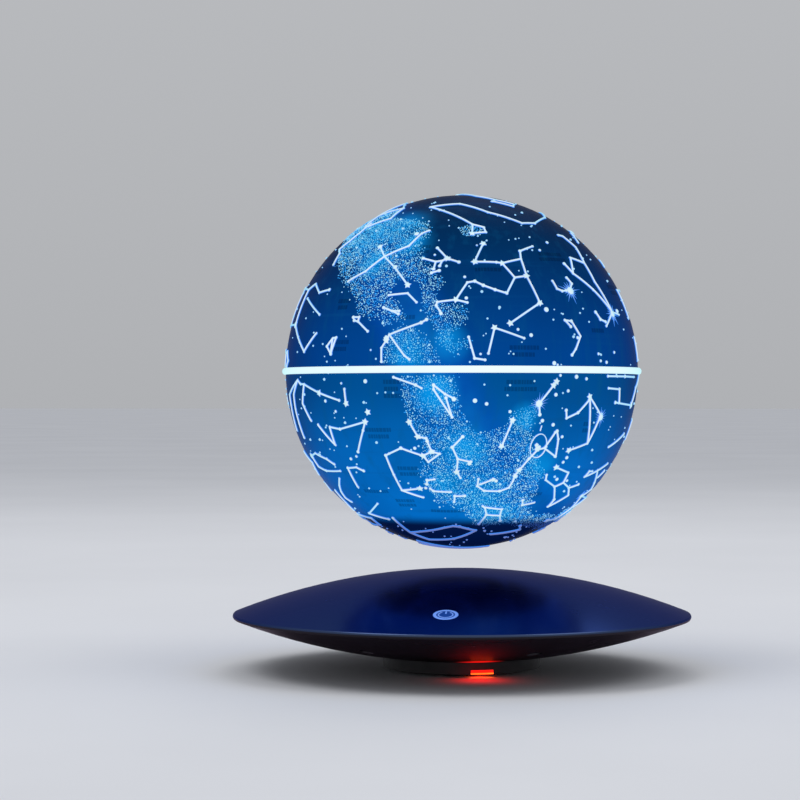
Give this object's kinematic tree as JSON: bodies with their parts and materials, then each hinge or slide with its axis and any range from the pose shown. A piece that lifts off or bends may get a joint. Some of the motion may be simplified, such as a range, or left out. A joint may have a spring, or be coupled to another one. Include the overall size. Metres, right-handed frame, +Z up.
{
  "type": "levitating celestial globe",
  "caption": "Lit star globe with a white equator band that floats on magnetism and spins above a black saucer-shaped base with a touch icon and a rear power inlet.",
  "frame": {"origin": "on the table, under the centre of the base and of the floating globe", "axes": "+Z up along the globe's spin axis, its north pole up; -Y towards the touch icon at the front; +Y towards the power inlet at the back; +X to the right of someone facing the touch icon"},
  "size_m": [0.195, 0.195, 0.2021],
  "materials": {
    "cover_black": "satin moulded black",
    "foot_black": "fine spark texture",
    "foot_rubber": "matt",
    "screw_steel": "zinc plated",
    "icon_lens": "frosted translucent",
    "circuit_board": "green solder mask",
    "spring_steel": "bright wire",
    "led_package": "clear resin",
    "status_red": "lit translucent red",
    "inlet_black": "moulded",
    "contact_metal": "tinned",
    "plate_steel": "zinc plated sheet",
    "ring_ferrite": "sintered ferrite",
    "core_iron": "turned",
    "bobbin_plastic": "moulded nylon",
    "copper_wire": "enamelled copper",
    "chip_black": "moulded epoxy",
    "capacitor_can": "sleeved can",
    "choke_ferrite": "sintered ferrite",
    "socket_white": "moulded nylon",
    "lead_red": "soft PVC",
    "lead_white": "soft PVC",
    "globe_shell": "lit translucent blue, printed raised star figures",
    "band_white": "lit frosted white",
    "tray_plastic": "moulded",
    "magnet_nickel": "nickel plated",
    "lamp_board_white": "white solder mask"
  },
  "bodies": {
    "base": {"top_cover": "cover_black", "bottom_cover": "cover_black", "foot_ring": "foot_black", "foot_plate": "foot_black", "rubber_feet": "foot_rubber", "foot_plate_screws": "screw_steel", "cover_screws": "screw_steel", "touch_lens": "icon_lens", "touch_sensor_board": "circuit_board", "touch_spring": "spring_steel", "touch_backlight_led": "led_package", "touch_board_screws": "screw_steel", "status_window": "status_red", "status_led": "led_package", "dc_jack_housing": "inlet_black", "dc_jack_pin": "contact_metal", "dc_jack_contacts": "contact_metal", "carrier_plate": "plate_steel", "carrier_screws": "screw_steel", "ring_magnet": "ring_ferrite", "coil_core_1": "core_iron", "coil_bobbin_1": "bobbin_plastic", "coil_winding_1": "copper_wire", "coil_core_2": "core_iron", "coil_bobbin_2": "bobbin_plastic", "coil_winding_2": "copper_wire", "coil_core_3": "core_iron", "coil_bobbin_3": "bobbin_plastic", "coil_winding_3": "copper_wire", "coil_core_4": "core_iron", "coil_bobbin_4": "bobbin_plastic", "coil_winding_4": "copper_wire", "hall_sensor_post": "chip_black", "hall_sensor_board": "circuit_board", "hall_sensors": "chip_black", "transmitter_former": "bobbin_plastic", "transmitter_coil": "copper_wire", "main_board": "circuit_board", "main_board_screws": "screw_steel", "controller_chip": "chip_black", "coil_driver_chips": "chip_black", "smoothing_capacitors": "capacitor_can", "choke_coil": "choke_ferrite", "lead_sockets": "socket_white", "dc_lead": "lead_red", "touch_lead": "lead_white", "coil_leads": "copper_wire", "transmitter_lead": "copper_wire"},
    "float_magnet": {"levitation_magnet": "magnet_nickel"},
    "globe": {"upper_hemisphere": "globe_shell", "lower_hemisphere": "globe_shell", "equator_ring": "band_white", "magnet_tray": "tray_plastic", "receiver_coil": "copper_wire", "tray_screws": "screw_steel", "lamp_board": "lamp_board_white", "lamp_board_screws": "screw_steel", "lamp_leds": "led_package", "rectifier_chips": "chip_black", "lamp_capacitor": "capacitor_can"}
  },
  "joints": [
    {"name": "globe_lift", "type": "slide", "parent": "base", "child": "float_magnet", "axis": [0, 0, 1], "range_m": [-0.009, 0.12], "stiffness_N_per_m": 30, "springref_m": 0.066},
    {"name": "globe_spin", "type": "hinge", "parent": "float_magnet", "child": "globe", "pos_m": [0, 0, 0.1271], "axis": [0, 0, 1], "continuous": true}
  ]
}
